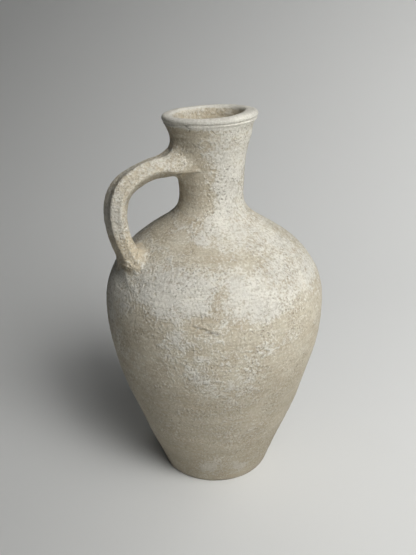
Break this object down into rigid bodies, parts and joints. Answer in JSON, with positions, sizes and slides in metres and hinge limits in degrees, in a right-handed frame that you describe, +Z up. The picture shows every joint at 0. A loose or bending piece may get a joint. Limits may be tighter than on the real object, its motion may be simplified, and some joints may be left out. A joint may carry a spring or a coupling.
{
  "type": "one-handled jug",
  "caption": "Tall matt clay jug: ovoid body on a narrow flat foot, steep rounded shoulder, waisted tube neck with a rolled lip, and a strap handle from neck to shoulder.",
  "frame": {"origin": "centre of the foot's underside, on the surface that the jug stands on", "axes": "+Z up along the vessel's turning axis; -X towards the handle; +X towards the pouring side of the lip; XZ is the handle's plane"},
  "size_m": [0.1848, 0.1848, 0.32],
  "materials": {
    "clay_foot": "bare matt fired clay, rubbed",
    "clay_body": "matt fired clay under a thin, patchy lime wash",
    "clay_limewash": "matt lime wash, fairly even",
    "clay_handle": "matt lime wash, worn to warm clay on the ridges"
  },
  "bodies": {
    "root": {"foot_disc": "clay_foot", "lower_wall": "clay_body", "shoulder_wall": "clay_body", "neck": "clay_limewash", "rim": "clay_limewash", "handle_strap": "clay_handle", "handle_neck_joint": "clay_handle", "handle_shoulder_joint": "clay_handle"}
  },
  "joints": []
}
